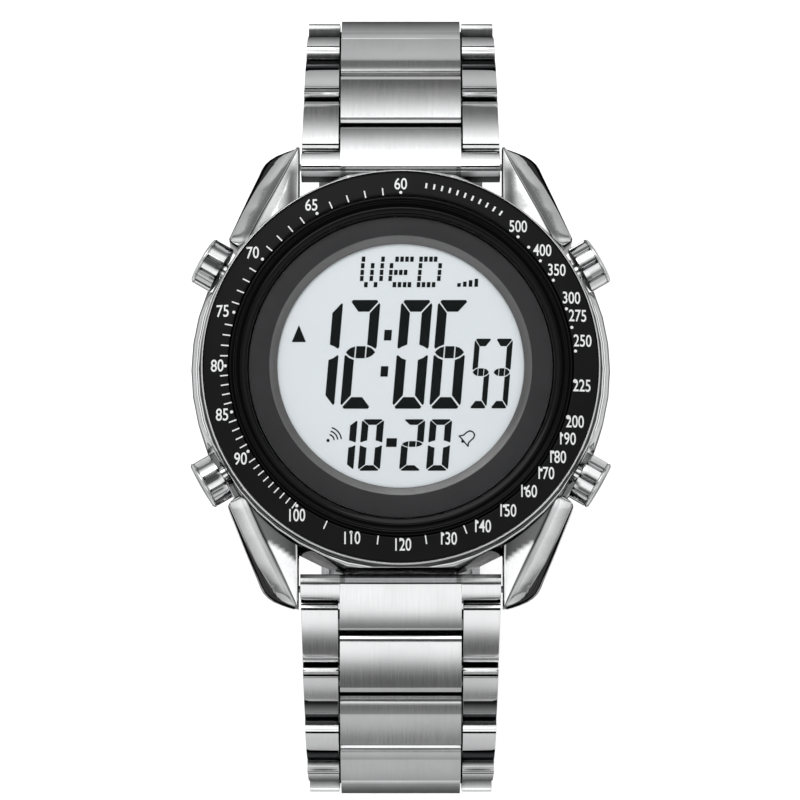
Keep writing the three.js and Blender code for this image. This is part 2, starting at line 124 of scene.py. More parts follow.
def metal(name, tone, r_lo, r_hi, grain, bump_s=0.15, painted_crevice_shade=0.0, spot=0.04, tint=0.12):
    """Metal with a directional grain: grain is the number of waves per millimetre along X, Y and Z."""
    mat, nt, bs = new_mat(name)
    bs.inputs["Metallic"].default_value = 1.0
    bs.inputs["Specular Tint"].default_value = (tint, tint, tint, 1)
    g = noise(nt, tuple(v * 1000 for v in grain), detail=5, rough=0.65)
    wide = noise(nt, (180, 180, 180), detail=3)
    nt.links.new(maprange(nt, g.outputs["Fac"], 0.3, 0.7, r_lo, r_hi), bs.inputs["Roughness"])
    hi = tuple(min(1, c * (1 + spot)) for c in tone)
    lo = tuple(c * (1 - spot) for c in tone)
    mix = nt.nodes.new("ShaderNodeMix")
    mix.data_type = "RGBA"
    mix.blend_type = "MULTIPLY"
    mix.inputs[0].default_value = 1.0
    nt.links.new(ramp(nt, wide.outputs["Fac"], [(0.3, lo), (0.7, hi)]), mix.inputs[6])
    nt.links.new(ramp(nt, g.outputs["Fac"], [(0.25, (0.88, 0.88, 0.88)), (0.7, (1, 1, 1))]), mix.inputs[7])
    col = mix.outputs[2]
    # Painted shade: the base colour is darkened towards black where ambient occlusion finds nearby surfaces, in gaps,
    # creases and recesses.
    if painted_crevice_shade:
        ao = nt.nodes.new("ShaderNodeAmbientOcclusion")
        ao.samples = 8
        ao.inputs["Distance"].default_value = painted_crevice_shade * MM
        mx = nt.nodes.new("ShaderNodeMix")
        mx.data_type = "RGBA"
        mx.blend_type = "MULTIPLY"
        mx.inputs[0].default_value = 1.0
        nt.links.new(col, mx.inputs[6])
        nt.links.new(ramp(nt, ao.outputs["AO"], [(0.3, (0.0, 0.0, 0.0)), (0.6, (0.7, 0.7, 0.7)), (0.88, (1, 1, 1))]), mx.inputs[7])
        col = mx.outputs[2]
    nt.links.new(col, bs.inputs["Base Color"])
    if bump_s:
        bump(nt, g.outputs["Fac"], bs, bump_s, 0.004)
    return mat


def shaded(mat):
    """Multiply the base colour by the mesh's per-point 'shade' values, which hold painted shade and painted
    highlights.
    """
    nt = mat.node_tree
    bs = nt.nodes["Principled BSDF"]
    link = bs.inputs["Base Color"].links[0]
    col = link.from_socket
    at = nt.nodes.new("ShaderNodeAttribute")
    at.attribute_name = "shade"
    mx = nt.nodes.new("ShaderNodeMix")
    mx.data_type = "RGBA"
    mx.blend_type = "MULTIPLY"
    mx.inputs[0].default_value = 1.0
    nt.links.new(col, mx.inputs[6])
    nt.links.new(at.outputs["Color"], mx.inputs[7])
    nt.links.new(mx.outputs[2], bs.inputs["Base Color"])
    return mat


def coat(name, tone, r_lo, r_hi, spec, waves=6.0, bump_s=0.1, bump_d=0.01, spread=0.15, metallic=0.0):
    mat, nt, bs = new_mat(name)
    bs.inputs["Metallic"].default_value = metallic
    bs.inputs["Specular IOR Level"].default_value = spec
    g = noise(nt, (waves * 1000,) * 3, detail=4, rough=0.6)
    wide = noise(nt, (220, 220, 220), detail=3)
    nt.links.new(maprange(nt, g.outputs["Fac"], 0.3, 0.7, r_lo, r_hi), bs.inputs["Roughness"])
    hi = tuple(min(1, c * (1 + spread)) for c in tone)
    lo = tuple(c * (1 - spread) for c in tone)
    nt.links.new(ramp(nt, wide.outputs["Fac"], [(0.3, lo), (0.7, hi)]), bs.inputs["Base Color"])
    if bump_s:
        bump(nt, g.outputs["Fac"], bs, bump_s, bump_d)
    return mat


STEEL = (0.74, 0.745, 0.75)
M = {}
M["link_face"] = metal("link_brushed", STEEL, 0.13, 0.21, (14, 0.25, 0.25), 0.16, painted_crevice_shade=0.9)
# Painted shade: near-black steel put on the grooves of the links, where only shade falls.
M["link_line"] = metal("link_recess_painted_shade", (0.05, 0.05, 0.051), 0.2, 0.3, (9, 3, 3), 0.1)
# Painted reflection: darker steel on the sloping band at the far end of the legs, standing in for the dark
# reflections there.
M["link_band"] = metal("link_slope_painted_reflection", (0.42, 0.425, 0.43), 0.06, 0.12, (10, 1, 1), 0.06, painted_crevice_shade=0.7)
M["link_dark"] = metal("link_slope_shadow", (0.035, 0.035, 0.036), 0.08, 0.14, (10, 1, 1), 0.06)
M["link_edge"] = metal("link_polished_edge", (0.82, 0.825, 0.83), 0.06, 0.13, (8, 8, 8), 0.03, painted_crevice_shade=0.6)
M["case_pol"] = metal("case_polished", (0.8, 0.805, 0.81), 0.05, 0.1, (3, 3, 3), 0.02, painted_crevice_shade=0.7)
# Painted reflection: near-black steel on the upper part of the lugs' rolled outer edge, standing in for the dark
# reflection there.
M["roll"] = metal("lug_rolled_edge_painted_dark", (0.06, 0.06, 0.062), 0.1, 0.2, (3, 3, 3), 0.02, tint=0.0)
# Lug steel is multiplied by the per-point shade values of the lug meshes: painted reflections, painted highlights and
# painted shade.
M["lug"] = shaded(metal("lug_polished_painted_reflections", (0.8, 0.805, 0.81), 0.06, 0.12, (3, 3, 3), 0.02, painted_crevice_shade=0.5))
M["bezel_pol"] = metal("bezel_polished", (0.85, 0.855, 0.86), 0.04, 0.09, (6, 6, 6), 0.02)
M["pusher"] = metal("pusher_polished", (0.74, 0.745, 0.75), 0.03, 0.07, (5, 5, 5), 0.02, painted_crevice_shade=0.35)
M["fastener"] = metal("fastener_steel", (0.6, 0.6, 0.61), 0.22, 0.36, (6, 6, 6), 0.1)
M["back"] = metal("case_back_brushed", (0.66, 0.665, 0.67), 0.24, 0.38, (12, 0.3, 0.3), 0.25, painted_crevice_shade=0.5)
M["clasp"] = metal("clasp_brushed", (0.7, 0.705, 0.71), 0.2, 0.34, (12, 0.25, 0.25), 0.25, painted_crevice_shade=0.8)
M["battery"] = metal("battery_steel", (0.7, 0.7, 0.71), 0.2, 0.3, (4, 4, 4), 0.1)
M["brass"] = metal("brass", (0.75, 0.56, 0.26), 0.25, 0.4, (5, 5, 5), 0.1)
M["insert"] = coat("scale_black", (0.0058, 0.0058, 0.006), 0.38, 0.5, 0.1, 9, 0.12, 0.006, 0.12)
M["gloss"] = coat("gloss_black", (0.002, 0.002, 0.0022), 0.06, 0.11, 0.13, 5, 0.02, 0.004, 0.1)
M["dial"] = coat("dial_grey", (0.028, 0.028, 0.03), 0.35, 0.45, 0.3, 12, 0.1, 0.005, 0.1)
M["chamfer"] = coat("dial_chamfer", (0.11, 0.11, 0.112), 0.2, 0.28, 0.7, 12, 0.05, 0.004, 0.1)
M["white"] = coat("scale_white", (0.86, 0.87, 0.87), 0.4, 0.5, 0.2, 12, 0.05, 0.003, 0.02)
M["lcd"] = coat("lcd_glass", (0.86, 0.915, 0.945), 0.5, 0.6, 0.05, 20, 0.03, 0.002, 0.012)
M["ink"] = coat("lcd_segments", (0.008, 0.0105, 0.0105), 0.4, 0.5, 0.05, 8, 0.02, 0.002, 0.2)
M["rubber"] = coat("rubber", (0.02, 0.02, 0.02), 0.7, 0.85, 0.3, 6, 0.2, 0.01)
M["milky"] = coat("diffuser", (0.8, 0.82, 0.84), 0.35, 0.5, 0.4, 4, 0.05, 0.005, 0.05)
M["zebra"] = coat("zebra_rubber", (0.5, 0.28, 0.33), 0.5, 0.65, 0.3, 5, 0.1)
M["module"] = coat("module_plastic", (0.6, 0.57, 0.5), 0.45, 0.6, 0.4, 5, 0.1)
M["board"] = coat("solder_mask", (0.012, 0.13, 0.05), 0.25, 0.4, 0.5, 4, 0.1)


def crystal_mat():
    mat, nt, bs = new_mat("crystal")
    bs.inputs["Base Color"].default_value = (0.02, 0.02, 0.02, 1)
    bs.inputs["Alpha"].default_value = 0.03
    bs.inputs["Specular IOR Level"].default_value = 0.5
    g = noise(nt, (3000, 3000, 3000), 3)
    nt.links.new(maprange(nt, g.outputs["Fac"], 0.3, 0.7, 0.01, 0.03), bs.inputs["Roughness"])
    mat.surface_render_method = "BLENDED"
    return mat


M["crystal"] = crystal_mat()


# ---------------------------------------------------------------- mesh helpers
def add(name, verts, faces, mats, body, slot, cad=(), face_mats=None, sharp=None, shade=None):
    me = bpy.data.meshes.new(name)
    me.from_pydata([(x * MM, y * MM, z * MM) for x, y, z in verts], [], faces)
    for mt in mats:
        me.materials.append(mt)
    if face_mats:
        for p, i in zip(me.polygons, face_mats):
            p.material_index = i
    # The per-point shade values are painted shade and painted highlights, multiplied into the base colour by
    # shaded().
    if shade:
        at = me.attributes.new("shade", "FLOAT", "POINT")
        at.data.foreach_set("value", shade)
    bm = bmesh.new()
    bm.from_mesh(me)
    bmesh.ops.remove_doubles(bm, verts=bm.verts, dist=1e-8)
    bmesh.ops.recalc_face_normals(bm, faces=bm.faces)
    bm.to_mesh(me)
    bm.free()
    for p in me.polygons:
        p.use_smooth = True
    if sharp:
        me.set_sharp_from_angle(angle=rad(sharp))
    o = bpy.data.objects.new(name, me)
    scene.collection.objects.link(o)
    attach(o, body)
    if cad:
        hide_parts(*cad)
    return o


def soften(o, width=0.1, segs=3, angle=28, mat_index=-1, keep=True):
    bv = o.modifiers.new("edges", "BEVEL")
    bv.width = width * MM
    bv.segments = segs
    bv.limit_method = "ANGLE"
    bv.angle_limit = rad(angle)
    bv.material = mat_index
    bv.use_clamp_overlap = True
    bv.miter_outer = "MITER_ARC"
    wd = o.modifiers.new("join", "WELD")
    wd.merge_threshold = 0.000002
    w = o.modifiers.new("normals", "WEIGHTED_NORMAL")
    w.keep_sharp = True
    w.weight = 50
    return o


def weighted(o):
    w = o.modifiers.new("normals", "WEIGHTED_NORMAL")
    w.keep_sharp = True
    w.weight = 60
    return o


def fillet(pts, r=0.1, n=3, closed=True):
    """Round each corner of a (r, z) outline. A point may carry its own radius as a third value."""
    out = []
    N = len(pts)
    for i in range(N):
        p = Vector(pts[i][:2])
        rr = pts[i][2] if len(pts[i]) > 2 else r
        if (not closed and i in (0, N - 1)) or rr <= 0:
            out.append((p.x, p.y))
            continue
        a = Vector(pts[i - 1][:2]) - p
        c = Vector(pts[(i + 1) % N][:2]) - p
        la, lc = a.length, c.length
        d = min(rr, la * 0.45, lc * 0.45)
        a.normalize()
        c.normalize()
        if a.angle(c) > rad(178):
            out.append((p.x, p.y))
            continue
        p0, p1 = p + a * d, p + c * d
        for k in range(n + 1):
            t = k / n
            q = p0 * (1 - t) ** 2 + p * 2 * t * (1 - t) + p1 * t ** 2
            out.append((q.x, q.y))
    return out


def revolve(name, profile, mats, body, slot, cad=(), seg=192, place=None, radius=None, mat_of=None, sharp=None):
    """Revolve an (r, z) outline about Z; an outline whose ends are on the axis is closed there."""
    on_axis = profile[0][0] < 1e-6 and profile[-1][0] < 1e-6
    verts, faces, fm = [], [], []
    P = len(profile)
    ids = []
    for j, (r, z) in enumerate(profile):
        if r < 1e-6:
            ids.append([len(verts)] * seg)
            verts.append((0, 0, z))
            continue
        row = []
        for i in range(seg):
            a = 2 * math.pi * i / seg
            rr = radius(r, z, a) if radius else r
            row.append(len(verts))
            verts.append((rr * math.cos(a), rr * math.sin(a), z))
        ids.append(row)
    last = P - 1 if on_axis else P
    for j in range(last):
        k = (j + 1) % P
        mi = mat_of(profile[j], profile[k]) if mat_of else 0
        for i in range(seg):
            n = (i + 1) % seg
            f = [ids[j][i], ids[j][n], ids[k][n], ids[k][i]]
            f = [v for q, v in enumerate(f) if v not in f[:q]]
            if len(f) > 2:
                faces.append(f)
                fm.append(mi)
    if place:
        verts = [place(v) for v in verts]
    return add(name, verts, faces, mats, body, slot, cad, fm, sharp)


def prism(outline, x0, x1, place=lambda v: v, warp=None):
    """Verts and faces of a (y, z) outline extruded along X."""
    n = len(outline)
    vs = [(x0, y, z) for y, z in outline] + [(x1, y, z) for y, z in outline]
    if warp:
        vs = [warp(v) for v in vs]
    vs = [place(v) for v in vs]
    fs = [list(range(n))[::-1], list(range(n, 2 * n))]
    for i in range(n):
        j = (i + 1) % n
        fs.append([i, j, n + j, n + i])
    return vs, fs


def merge(parts):
    V, F = [], []
    for vs, fs in parts:
        o = len(V)
        V += vs
        F += [[i + o for i in f] for f in fs]
    return V, F


def turn_z(deg):
    c, s = math.cos(rad(deg)), math.sin(rad(deg))
    return lambda v: (v[0] * c - v[1] * s, v[0] * s + v[1] * c, v[2])


# ---------------------------------------------------------------- bracelet
PITCH, LINK_T, GAP = 7.3, 3.0, 0.3
INNER = 6.84
Q, H, E = PITCH / 4, LINK_T / 2, GAP / 2
R = Q - E
CENTRE, END_HALF, TAPER = 6.65, 10.95, 0.024
PIN1 = (26.1, 3.65)
EL_TILT = 24
ANGLES = [28.8, 44, 62, 82, 100, 117, 134, 150, 164]
pins = [PIN1]
for a in ANGLES:
    pins.append((pins[-1][0] + PITCH * math.cos(rad(a)), pins[-1][1] - PITCH * math.sin(rad(a))))


def half_width(k, s):
    return END_HALF - 0.05 - TAPER * (s + PITCH * (k - 1) + Q)


def arc_top(s0, s1, top, sag, n=10):
    """Points from s1 back to s0 on a shallow dome whose ends lie sag below top."""
    return [(s1 + (s0 - s1) * i / n, top - sag * (2 * i / n - 1) ** 2) for i in range(n + 1)]


def under(cy, sign, n=7):
    out = []
    for i in range(n + 1):
        t = rad(-63.6 * i / n)
        out.append((cy + sign * R * math.cos(t), R * math.sin(t)))
    return out


def row_place(k, side):
    py, pz = pins[k - 1]
    a = rad(ANGLES[k - 1])
    sg = 1 if side == "12" else -1

    def f(v):
        x, s, n = v
        return (sg * x, sg * (py + s * math.cos(a) + n * math.sin(a)), pz - s * math.sin(a) + n * math.cos(a))
    return f


# Link steel is multiplied by the per-point shade values: painted shade and painted highlights.
M["link_face"] = shaded(M["link_face"])
M["link_band"] = shaded(M["link_band"])
LINK_MATS = [M["link_face"], M["link_edge"], M["link_line"], M["link_band"], M["link_dark"]]


def strip(rows, place):
    """Closed solid through a list of four-cornered sections."""
    V = [place(p) for r in rows for p in r]
    n = len(rows)
    F = [[0, 1, 2, 3], [4 * n - 1, 4 * n - 2, 4 * n - 3, 4 * n - 4]]
    for i in range(n - 1):
        a = 4 * i
        for j in range(4):
            k = (j + 1) % 4
            F.append([a + j, a + 4 + j, a + 4 + k, a + k])
    return V, F


def cap(sg, x_in, x_out, s0, s1, top, sag, low, place, corner=0.7, n=14):
    """Raised top face of a leg. Its outer far corner is rounded in plan."""
    ss = [s0 + (s1 - s0) * i / n for i in range(n + 1)]
    ss = [s for s in ss if s < s1 - corner] + [s1 - corner + corner * math.sin(rad(t)) for t in range(0, 91, 15)]
    rows = []
    for s in ss:
        t = (s - s0) / (s1 - s0)
        h = top - sag * (2 * t - 1) ** 2
        xo = x_out(s)
        d = s - (s1 - corner)
        if d > 0:
            xo -= corner - (max(0.0, corner ** 2 - d ** 2)) ** 0.5
        rows.append([(sg * x_in, s, low), (sg * x_in, s, h), (sg * xo, s, h), (sg * xo, s, low)])
    return strip(rows, place)


def link_row(k, side):
    place = row_place(k, side)
    s0, s1 = Q + E + 0.1, 5 * Q - E - 0.1
    sag = 0.16
    if k == 1:
        body = arc_top(s0 + 0.66, s1 - 0.72, H, sag)
        far = [(s1 - 0.12, 1.12), (s1 - 0.7, 1.33)]
    else:
        body = arc_top(s0 + 2.2, s1 - 0.35, H, 0.06) + [(s0 + 2.14, 1.42), (s0 + 1.2, 1.33), (s0 + 0.66, 1.16)]
        far = [(s1 - 0.08, 1.2), (s1 - 0.33, 1.4)]
    n0 = body[-1][1]
    centre = far + body + [(s0 + 0.62, n0 - 0.09), (s0 + 0.38, n0 - 0.12), (s0 + 0.34, n0 - 0.03), (s0 + 0.27, n0), (s0 + 0.04, n0 - 0.24), (s0, n0 - 0.5),
                           (s0, -1.25), (s0 + 0.25, -H)] + under(PITCH, 1)[::-1] + [(s1, 0.9)]
    t0, t1 = -R, 3 * Q - E
    x0 = INNER
    if k == 1:
        f0, f1, band = t0 + 0.68, t1 - 0.78, [(t1 - 0.06, 1.0), (t1 - 0.3, 1.2), (t1 - 0.72, 1.27)]
    else:
        f0, f1, band = t0 + 0.68, t0 + 4.1, [(t1 - 0.06, 0.66), (t1 - 0.5, 0.8), (t1 - 1.0, 0.93), (t1 - 1.5, 1.04), (t1 - 2.0, 1.13), (t1 - 2.4, 1.19), (t0 + 4.2, 1.24), (t0 + 4.05, 1.26)]
    leg = band + [(f0 - 0.02, 1.2), (t0 + 0.46, 1.18), (t0 + 0.42, 1.34), (t0 + 0.34, 1.38), (t0 + 0.14, 1.16), (t0 + 0.1, 0.9), (t0, 0.8)] + under(0, -1) + [(t1 - 0.25, -H), (t1, -1.25), (t1, band[0][1] - 0.3)]
    wide = lambda s: half_width(k, s)
    warp = lambda v: ((math.copysign(wide(v[1]), v[0]) if abs(v[0]) > x0 + 1 else v[0]), v[1], v[2])
    same = lambda v: v
    parts = [prism(centre, -CENTRE, CENTRE), prism(leg, x0, x0 + 3, same, warp), prism(leg, -x0 - 3, -x0, same, warp)]
    for sg in (1, -1):
        parts.append(cap(sg, x0 + 0.01, lambda s: wide(s) - 0.03, f0, f1, H, 0.2 if k == 1 else 0.07, 0.9, same))
    web = [(s0 + 0.35, -1.3), (t1 - 0.35, -1.3), (t1 - 0.35, 0.5), (s0 + 0.35, 0.5)]
    parts += [prism(web, CENTRE - 0.5, x0 + 0.5), prism(web, -x0 - 0.5, -CENTRE + 0.5)]
    pin = [(0.55 * math.cos(2 * math.pi * i / 20), 0.55 * math.sin(2 * math.pi * i / 20)) for i in range(20)]
    parts.append(prism(pin, -x0 - 0.5, x0 + 0.5))
    V, F = merge(parts)

    # Painted shade: rows 3 and 4 are darkened.
    row_painted_shade = {3: 0.8, 4: 0.8}.get(k, 1.0)
    leg_row_painted_shade = {3: 0.9, 4: 0.9}.get(k, 1.0)

    # Painted shade and painted highlights as shade values: lower parts at half, tops lighter near the case and darker
    # towards the far end, the band beyond the leg faces starting nearly black and lightening outwards.
    def tone(v):
        x, q, n = v
        if abs(x) <= CENTRE:
            if n < 0.8:
                return 0.5 * row_painted_shade
            if k == 1:
                return 1.0 if q < s1 - 2.4 else (1.0 - 0.3 * (q - s1 + 2.4) / 1.7 if q < s1 - 0.71 else 0.95)
            return row_painted_shade * (1.3 - 0.6 * (q - s0 - 0.6) / 1.6 if q < s0 + 2.18 else 0.98 - (0.22 if k != 3 else 0.35) * (q - s0 - 2.2) / 4)
        if n < 0.5:
            return 0.5
        if k == 1:
            return 1.0 if q < f1 - 1.6 else (1.0 - 0.2 * (q - f1 + 1.6) / 1.6 if q <= f1 else 1.3)
        if q <= f1:
            return leg_row_painted_shade * (1.25 - 0.55 * max(0.0, q - f0) / (f1 - f0))
        return 0.03 + 0.9 * min(1.0, max(0.0, (q - f1 - 0.45) / 2.2))

    fm = []
    for f in F:
        cx = abs(sum(V[i][0] for i in f) / len(f))
        cs = sum(V[i][1] for i in f) / len(f)
        cn = sum(V[i][2] for i in f) / len(f)
        # Groove faces get the near-black painted-shade steel; the band faces of rows 2 and up get the darker
        # painted-reflection steel.
        mi = 0
        if cx < 1 and n0 - 0.16 < cn < n0 and s0 + 0.35 < cs < s0 + 0.645:
            mi = 2
        elif cx > CENTRE and cn > 0.5 and t0 + 0.43 < cs < t0 + 0.66 and max(V[i][0] for i in f) - min(V[i][0] for i in f) > 1:
            mi = 2
        elif cx > CENTRE and cn > 0.5 and cs > f1 + 0.04 and k > 1 and max(V[i][0] for i in f) - min(V[i][0] for i in f) > 1:
            mi = 3
        fm.append(mi)
    o = add(f"v_link_{side}_row_{k}", [place(v) for v in V], F, LINK_MATS, f"row_{side}_{k}", "bracelet_steel", (f"link_{side}_row_{k}",), fm, shade=[tone(v) for v in V])
    soften(o, 0.07, 3, 30, 1)


def el_point(s, n):
    a = rad(EL_TILT)
    return (PIN1[0] + s * math.cos(a) + n * math.sin(a), PIN1[1] - s * math.sin(a) + n * math.cos(a))


def end_link(side):
    sg = 1 if side == "12" else -1
    place = lambda v: (sg * v[0], sg * v[1], v[2])
    frame_place = lambda v: place((v[0],) + el_point(v[1], v[2]))
    tail = [el_point(R * math.cos(rad(d)), R * math.sin(rad(d))) for d in (-63.6, -54, -43, -32, -22, -11, 0)]
    near = [el_point(-3.9, 1.3), el_point(-4.0, 1.28), el_point(-4.05, 1.42), el_point(-4.2, 1.44), (22.5, 6.62), (22.0, 6.2), (22.0, 2.4), (22.3, 2.1)]
    tongue = [el_point(s, n) for s, n in [(R - 0.1, 0.9), (R - 0.22, 1.15), (R - 0.45, 1.3)]] + [el_point(s, n) for s, n in arc_top(-3.85, R - 0.5, H, 0.16)] + near + [(24.7, 2.0)] + tail
    face = -Q - E
    wing = [el_point(s, n) for s, n in [(face, 0.9), (face - 0.1, 1.2)]] + near + [el_point(face, -2.0)]
    parts = [prism(tongue, -CENTRE, CENTRE, place), prism(wing, -END_HALF, -CENTRE + 0.6, place), prism(wing, CENTRE - 0.6, END_HALF, place)]
    for q in (1, -1):
        parts.append(cap(q, CENTRE - 0.02, lambda s: END_HALF - 0.03, -3.85, face - 0.1, 1.47, 0.05, 0.9, frame_place, corner=0.5))
    V, F = merge(parts)

    # Painted shade as shade values: lower parts at half, the case end darkened, the top fading darker towards the far
    # end.
    def tone(v):
        y, z = abs(v[1]), v[2]
        q = (y - PIN1[0]) * math.cos(rad(EL_TILT)) - (z - PIN1[1]) * math.sin(rad(EL_TILT))
        if z < 4.0:
            return 0.5
        if y < 22.9:
            return 0.35 if y < 22.2 else 0.8
        return 1.0 if q < -0.6 else 1.0 - 0.3 * min(1.0, (q + 0.6) / 1.8)

    # A narrow strip on top near the case gets the near-black painted-shade steel.
    fm = []
    for f in F:
        cy = abs(sum(V[i][1] for i in f) / len(f))
        cz = sum(V[i][2] for i in f) / len(f)
        fm.append(2 if cz > 6.2 and 22.98 < cy < 23.12 and len(f) == 4 else 0)
    o = add(f"v_end_link_{side}", V, F, LINK_MATS, f"end_link_{side}", "bracelet_steel", (f"end_link_{side}",), fm, shade=[tone(v) for v in V])
    soften(o, 0.06, 3, 30, 1)


for side in ("12", "6"):
    end_link(side)
    for k in range(1, 10):
        link_row(k, side)

# ---------------------------------------------------------------- case
def evaluated(o, name):
    dg = bpy.context.evaluated_depsgraph_get()
    dg.update()
    out = bpy.data.meshes.new_from_object(o.evaluated_get(dg))
    out.name = name
    return out


core = nodes["case_body"].data.copy()
core_o = bpy.data.objects.new("core_work", core)
scene.collection.objects.link(core_o)
cut_me = bpy.data.meshes.new("cut_work")
bm = bmesh.new()
bmesh.ops.create_cone(bm, cap_ends=True, segments=360, radius1=22.61 * MM, radius2=22.61 * MM, depth=60 * MM)
bm.to_mesh(cut_me)
bm.free()
cut_o = bpy.data.objects.new("cut_work", cut_me)
scene.collection.objects.link(cut_o)
md = core_o.modifiers.new("cut", "BOOLEAN")
md.operation = "INTERSECT"
md.solver = "EXACT"
md.object = cut_o
me = evaluated(core_o, "v_case_body")
bpy.data.objects.remove(core_o)
bpy.data.objects.remove(cut_o)
bm = bmesh.new()
bm.from_mesh(me)
bmesh.ops.remove_doubles(bm, verts=bm.verts, dist=2e-6)
bmesh.ops.dissolve_limit(bm, angle_limit=rad(1.2), verts=bm.verts, edges=bm.edges)
bmesh.ops.recalc_face_normals(bm, faces=bm.faces)
bm.to_mesh(me)
bm.free()
me.materials.clear()
me.materials.append(M["case_pol"])
for v in me.vertices:
    r = math.hypot(v.co.x, v.co.y)
    off = math.degrees(math.atan2(abs(v.co.y), abs(v.co.x)))
    w = min(1.0, max(0.0, (off - 30) / 12))
    if r > 22.0 * MM and abs(v.co.y) < 21.5 * MM:
        far = r + (0.22 * MM if r > 22.25 * MM else 0.0)
        near = 21.98 * MM + (r - 21.98 * MM) * (0.25 if v.co.z > 7.5 * MM else 1.0)
        g = (far * (1 - w) + near * w) / r
        v.co.x *= g
        v.co.y *= g
for p in me.polygons:
    p.use_smooth = True
    p.material_index = 0
case_v = bpy.data.objects.new("v_case_body", me)
scene.collection.objects.link(case_v)
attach(case_v, "case")
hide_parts("case_body")
soften(case_v, 0.18, 3, 22)


def lerp_table(tab, y):
    if y <= tab[0][0]:
        return tab[0][1]
    for (y0, v0), (y1, v1) in zip(tab[:-1], tab[1:]):
        if y <= y1:
            t = (y - y0) / (y1 - y0)
            return v0 + (v1 - v0) * t
    return tab[-1][1]


OUTER_X = [(13.0, 16.7), (13.5, 17.5), (14.0, 18.25), (14.4, 18.75), (14.8, 18.82), (16.5, 18.12), (19.5, 16.9), (22.4, 15.66), (23.2, 15.35), (23.8, 15.0), (24.3, 14.5), (24.7, 13.9), (25.1, 12.95), (25.35, 12.2), (25.5, 11.6)]
RIDGE_X = [(13.0, 17.2), (14.6, 16.65), (17.5, 15.3), (20.0, 14.0), (22.5, 12.75), (24.5, 11.8), (25.5, 11.35)]
RIDGE_Z = [(13.0, 10.1), (15.1, 9.5), (18.0, 8.35), (21.0, 7.05), (23.5, 5.95), (25.5, 5.0)]
INNER_Z = [(13.0, 10.4), (16.0, 9.2), (18.0, 8.3), (20.0, 7.35), (22.0, 6.5), (24.0, 5.6), (25.5, 4.9)]
EDGE_Z = [(13.0, 9.1), (14.6, 8.45), (18.0, 7.2), (21.0, 6.0), (23.0, 5.15), (24.5, 4.5), (25.5, 4.2)]
ROLL = [(13.0, 0.12), (15.0, 0.15), (18.0, 0.3), (21.0, 0.6), (22.5, 0.95), (23.5, 1.2), (24.5, 1.0), (25.2, 0.7), (25.5, 0.3)]
LOW_Z = [(13.0, 0.85), (17.0, 0.95), (20.0, 1.2), (22.5, 1.7), (24.5, 2.3), (25.5, 2.7)]


